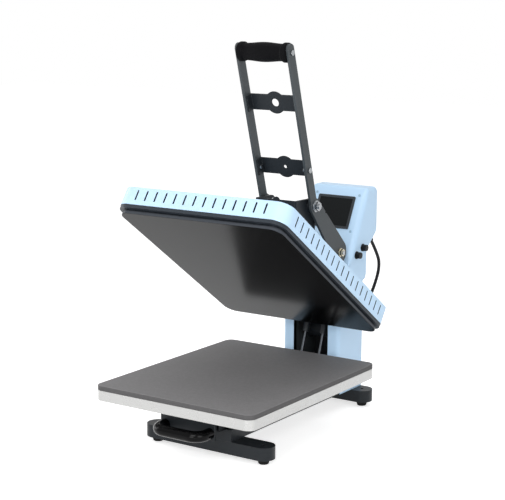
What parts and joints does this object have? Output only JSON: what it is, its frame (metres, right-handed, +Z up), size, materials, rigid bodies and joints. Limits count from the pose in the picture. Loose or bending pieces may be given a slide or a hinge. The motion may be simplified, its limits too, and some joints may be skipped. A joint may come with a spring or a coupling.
{
  "type": "heat press",
  "caption": "Slide-out clamshell heat press with sky blue cover, tilted upper platen, drawer bed, toggle lever handle and slanted display head",
  "frame": {"origin": "on the floor under the middle of the press, cord left out", "axes": "+X to the press's right seen from its front, +Y to the back, +Z up"},
  "size_m": [0.422, 0.821, 0.861],
  "materials": {
    "blue_paint": "satin",
    "dark_paint": "satin",
    "black_paint": "satin",
    "black_rubber": "matte",
    "steel": "brushed",
    "brass": "satin",
    "aluminium": "brushed",
    "silicone": "matte",
    "heat_coating": "semi-gloss",
    "insulation": "matte",
    "heater_foil": "matte",
    "black_plastic": "matte",
    "gloss_black": "gloss",
    "glass": "gloss",
    "board": "matte"
  },
  "bodies": {
    "base": {"front_foot_bar": "black_paint", "rear_foot_bar": "black_paint", "rubber_feet": "black_rubber", "base_beams": "black_paint", "outer_rails": "steel", "column_left_side": "blue_paint", "column_right_side": "blue_paint", "column_back": "blue_paint", "frame_cheeks": "dark_paint", "arm_shaft": "steel", "lever_shaft": "steel", "lever_nuts": "brass", "gas_anchor": "black_paint", "head_casing": "blue_paint", "head_front_panel": "blue_paint", "display_bezel": "black_plastic", "display_glass": "glass", "panel_screws": "blue_paint", "control_board": "board", "fuse_holders": "black_plastic", "switch_frame": "black_plastic", "cord_gland": "black_rubber", "power_cord": "black_rubber", "cord_coil": "black_rubber", "cord_tie": "black_rubber", "power_plug": "black_plastic"},
    "arm": {"arm_left_plate": "black_paint", "arm_right_plate": "black_paint", "arm_hub": "black_paint", "arm_bushes": "brass", "arm_base_plate": "black_paint", "arm_pins": "steel"},
    "platen": {"platen_cover": "blue_paint", "insulation_board": "insulation", "heater_sheet": "heater_foil", "platen_frame": "dark_paint", "heat_plate": "heat_coating", "spacer_posts": "steel", "platen_mount": "dark_paint"},
    "knob": {"pressure_knob": "black_plastic"},
    "lever": {"left_lever_arm": "dark_paint", "right_lever_arm": "dark_paint", "upper_cross_plate": "dark_paint", "lower_cross_plate": "dark_paint", "handle_grip": "black_rubber", "handle_bolts": "steel", "elbow_bolts": "steel"},
    "links": {"toggle_links": "black_paint", "link_web": "dark_paint"},
    "gas_rod_pair": {"gas_rods": "steel"},
    "gas_cylinder_pair": {"gas_cylinders": "black_paint"},
    "bed": {"bed_plate": "aluminium", "bed_mat": "silicone", "carriage": "black_paint", "drawer_pull": "gloss_black", "inner_rails": "steel"},
    "slide_middle": {"middle_rails": "steel"},
    "upper_fuse": {"upper_fuse_cap": "black_plastic"},
    "lower_fuse": {"lower_fuse_cap": "black_plastic"},
    "rocker": {"power_rocker": "black_plastic"}
  },
  "joints": [
    {"name": "arm_swing", "type": "hinge", "parent": "base", "child": "arm", "pos_m": [0, 0.25, 0.1775], "axis": [1, 0, 0], "range_deg": [0, 34.8], "stiffness_Nm_per_rad": 160, "springref_deg": -28.65},
    {"name": "lever_swing", "type": "hinge", "parent": "base", "child": "lever", "pos_m": [0, 0.199, 0.377], "axis": [1, 0, 0], "range_deg": [0, 45.24]},
    {"name": "link_swing", "type": "hinge", "parent": "lever", "child": "links", "pos_m": [0, 0.087, 0.498], "axis": [1, 0, 0], "range_deg": [-56.31, 0]},
    {"name": "gas_rod_swing", "type": "hinge", "parent": "base", "child": "gas_rod_pair", "pos_m": [0, 0.162, 0.062], "axis": [1, 0, 0], "range_deg": [0, 10.65]},
    {"name": "gas_cylinder_slide", "type": "slide", "parent": "gas_rod_pair", "child": "gas_cylinder_pair", "axis": [0, 0.3249, 0.9457], "range_m": [-0.0344, 0]},
    {"name": "bed_slide", "type": "slide", "parent": "base", "child": "bed", "axis": [0, -1, 0], "range_m": [0, 0.32]},
    {"name": "middle_rail_slide", "type": "slide", "parent": "base", "child": "slide_middle", "axis": [0, -1, 0], "range_m": [0, 0.16]},
    {"name": "knob_turn", "type": "hinge", "parent": "arm", "child": "knob", "pos_m": [0, -0.01847, 0.42376], "axis": [0, 0.5707, 0.8211], "range_deg": [0, 1080]},
    {"name": "platen_lift", "type": "slide", "parent": "arm", "child": "platen", "axis": [0, 0.5707, 0.8211], "range_m": [0, 0.006]},
    {"name": "upper_fuse_turn", "type": "hinge", "parent": "base", "child": "upper_fuse", "pos_m": [0.083, 0.29, 0.376], "axis": [1, 0, 0], "range_deg": [0, 90]},
    {"name": "lower_fuse_turn", "type": "hinge", "parent": "base", "child": "lower_fuse", "pos_m": [0.083, 0.262, 0.362], "axis": [1, 0, 0], "range_deg": [0, 90]},
    {"name": "power_rocker_tilt", "type": "hinge", "parent": "base", "child": "rocker", "pos_m": [-0.073, 0.31, 0.45], "axis": [0, -1, 0], "range_deg": [0, 20]}
  ],
  "couplings": [
    {"joint": "lever_swing", "follows": "arm_swing", "ratio": 1.3},
    {"joint": "link_swing", "follows": "arm_swing", "ratio": -1.618},
    {"joint": "gas_rod_swing", "follows": "arm_swing", "ratio": 0.306},
    {"joint": "gas_cylinder_slide", "follows": "arm_swing", "m_per_rad": -0.05655},
    {"joint": "middle_rail_slide", "follows": "bed_slide", "ratio": 0.5},
    {"joint": "knob_turn", "follows": "platen_lift", "rad_per_m": 3141.6}
  ]
}
